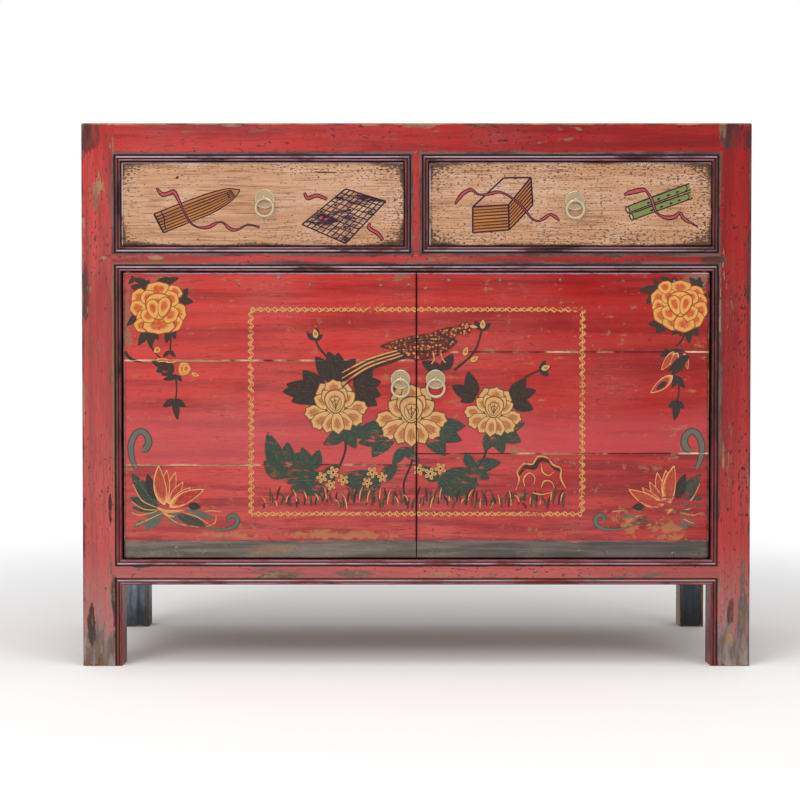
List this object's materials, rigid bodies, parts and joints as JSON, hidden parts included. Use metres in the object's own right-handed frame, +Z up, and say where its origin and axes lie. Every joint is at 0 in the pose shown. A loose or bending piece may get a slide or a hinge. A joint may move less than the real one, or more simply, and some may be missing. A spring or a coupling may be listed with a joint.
{
  "type": "sideboard cabinet",
  "caption": "Red lacquered wooden sideboard cabinet on square legs, with painted flowers, drawers over pivot-hung doors, a beaded frame and hanging ring pulls.",
  "frame": {"origin": "on the floor under the middle of the cabinet, its hanging rings included", "axes": "+Z up, front towards -Y, +X to the right seen from the front"},
  "size_m": [1.06, 0.4086, 0.86],
  "materials": {
    "red_lacquer": "worn red lacquer over wood",
    "dark_paint": "worn dark blue-black paint over wood",
    "drawer_paint": "worn cream and tan paint over wood",
    "bare_wood": "aged unpainted softwood",
    "peg_wood": "whittled hardwood",
    "brass": "tarnished pale brass"
  },
  "bodies": {
    "carcass": {"front_post_left": "red_lacquer", "front_post_right": "red_lacquer", "rear_post_left": "dark_paint", "rear_post_right": "dark_paint", "front_bottom_rail": "red_lacquer", "rear_bottom_rail": "bare_wood", "front_middle_rail": "red_lacquer", "rear_middle_rail": "bare_wood", "front_top_rail": "red_lacquer", "rear_top_rail": "red_lacquer", "drawer_divider": "red_lacquer", "side_rails_left": "red_lacquer", "side_rails_right": "red_lacquer", "joint_pegs": "peg_wood", "side_panels_left": "red_lacquer", "side_panels_right": "red_lacquer", "back_boards": "bare_wood", "top_boards": "red_lacquer", "top_battens": "bare_wood", "floor_boards": "bare_wood", "floor_bearers": "bare_wood", "shelf_boards": "bare_wood", "shelf_bearers": "bare_wood", "drawer_runners": "bare_wood", "drawer_guides": "bare_wood", "drawer_kickers": "bare_wood", "door_stops": "bare_wood"},
    "left_drawer": {"left_drawer_front": "drawer_paint", "left_drawer_sides": "bare_wood", "left_drawer_back": "bare_wood", "left_drawer_bottom": "bare_wood", "left_drawer_pull_plate": "brass", "left_drawer_pull_eye": "brass"},
    "left_drawer_ring": {"left_drawer_pull_ring": "brass"},
    "right_drawer": {"right_drawer_front": "drawer_paint", "right_drawer_sides": "bare_wood", "right_drawer_back": "bare_wood", "right_drawer_bottom": "bare_wood", "right_drawer_pull_plate": "brass", "right_drawer_pull_eye": "brass"},
    "right_drawer_ring": {"right_drawer_pull_ring": "brass"},
    "left_door": {"left_door_hinge_stile": "red_lacquer", "left_door_foot_board": "dark_paint", "left_door_lower_board": "red_lacquer", "left_door_middle_board": "red_lacquer", "left_door_upper_board": "red_lacquer", "left_door_battens": "bare_wood", "left_door_pull_plate": "brass", "left_door_pull_eye": "brass"},
    "left_door_ring": {"left_door_pull_ring": "brass"},
    "right_door": {"right_door_hinge_stile": "red_lacquer", "right_door_foot_board": "dark_paint", "right_door_lower_board": "red_lacquer", "right_door_middle_board": "red_lacquer", "right_door_upper_board": "red_lacquer", "right_door_battens": "bare_wood", "right_door_pull_plate": "brass", "right_door_pull_eye": "brass"},
    "right_door_ring": {"right_door_pull_ring": "brass"}
  },
  "joints": [
    {"name": "left_door_swing", "type": "hinge", "parent": "carcass", "child": "left_door", "pos_m": [-0.4569, -0.1837, 0.1714], "axis": [0, 0, -1], "range_deg": [0, 95]},
    {"name": "right_door_swing", "type": "hinge", "parent": "carcass", "child": "right_door", "pos_m": [0.4569, -0.1837, 0.1714], "axis": [0, 0, 1], "range_deg": [0, 95]},
    {"name": "left_drawer_slide", "type": "slide", "parent": "carcass", "child": "left_drawer", "axis": [0, -1, 0], "range_m": [0, 0.25]},
    {"name": "right_drawer_slide", "type": "slide", "parent": "carcass", "child": "right_drawer", "axis": [0, -1, 0], "range_m": [0, 0.25]},
    {"name": "left_drawer_ring_swing", "type": "hinge", "parent": "left_drawer", "child": "left_drawer_ring", "pos_m": [-0.24005, -0.1996, 0.7401], "axis": [-1, 0, 0], "range_deg": [0, 175]},
    {"name": "right_drawer_ring_swing", "type": "hinge", "parent": "right_drawer", "child": "right_drawer_ring", "pos_m": [0.25065, -0.1996, 0.7372], "axis": [-1, 0, 0], "range_deg": [0, 175]},
    {"name": "left_door_ring_swing", "type": "hinge", "parent": "left_door", "child": "left_door_ring", "pos_m": [-0.0253, -0.1991, 0.45503], "axis": [-1, 0, 0], "range_deg": [0, 175]},
    {"name": "right_door_ring_swing", "type": "hinge", "parent": "right_door", "child": "right_door_ring", "pos_m": [0.0305, -0.1991, 0.45503], "axis": [-1, 0, 0], "range_deg": [0, 175]}
  ]
}
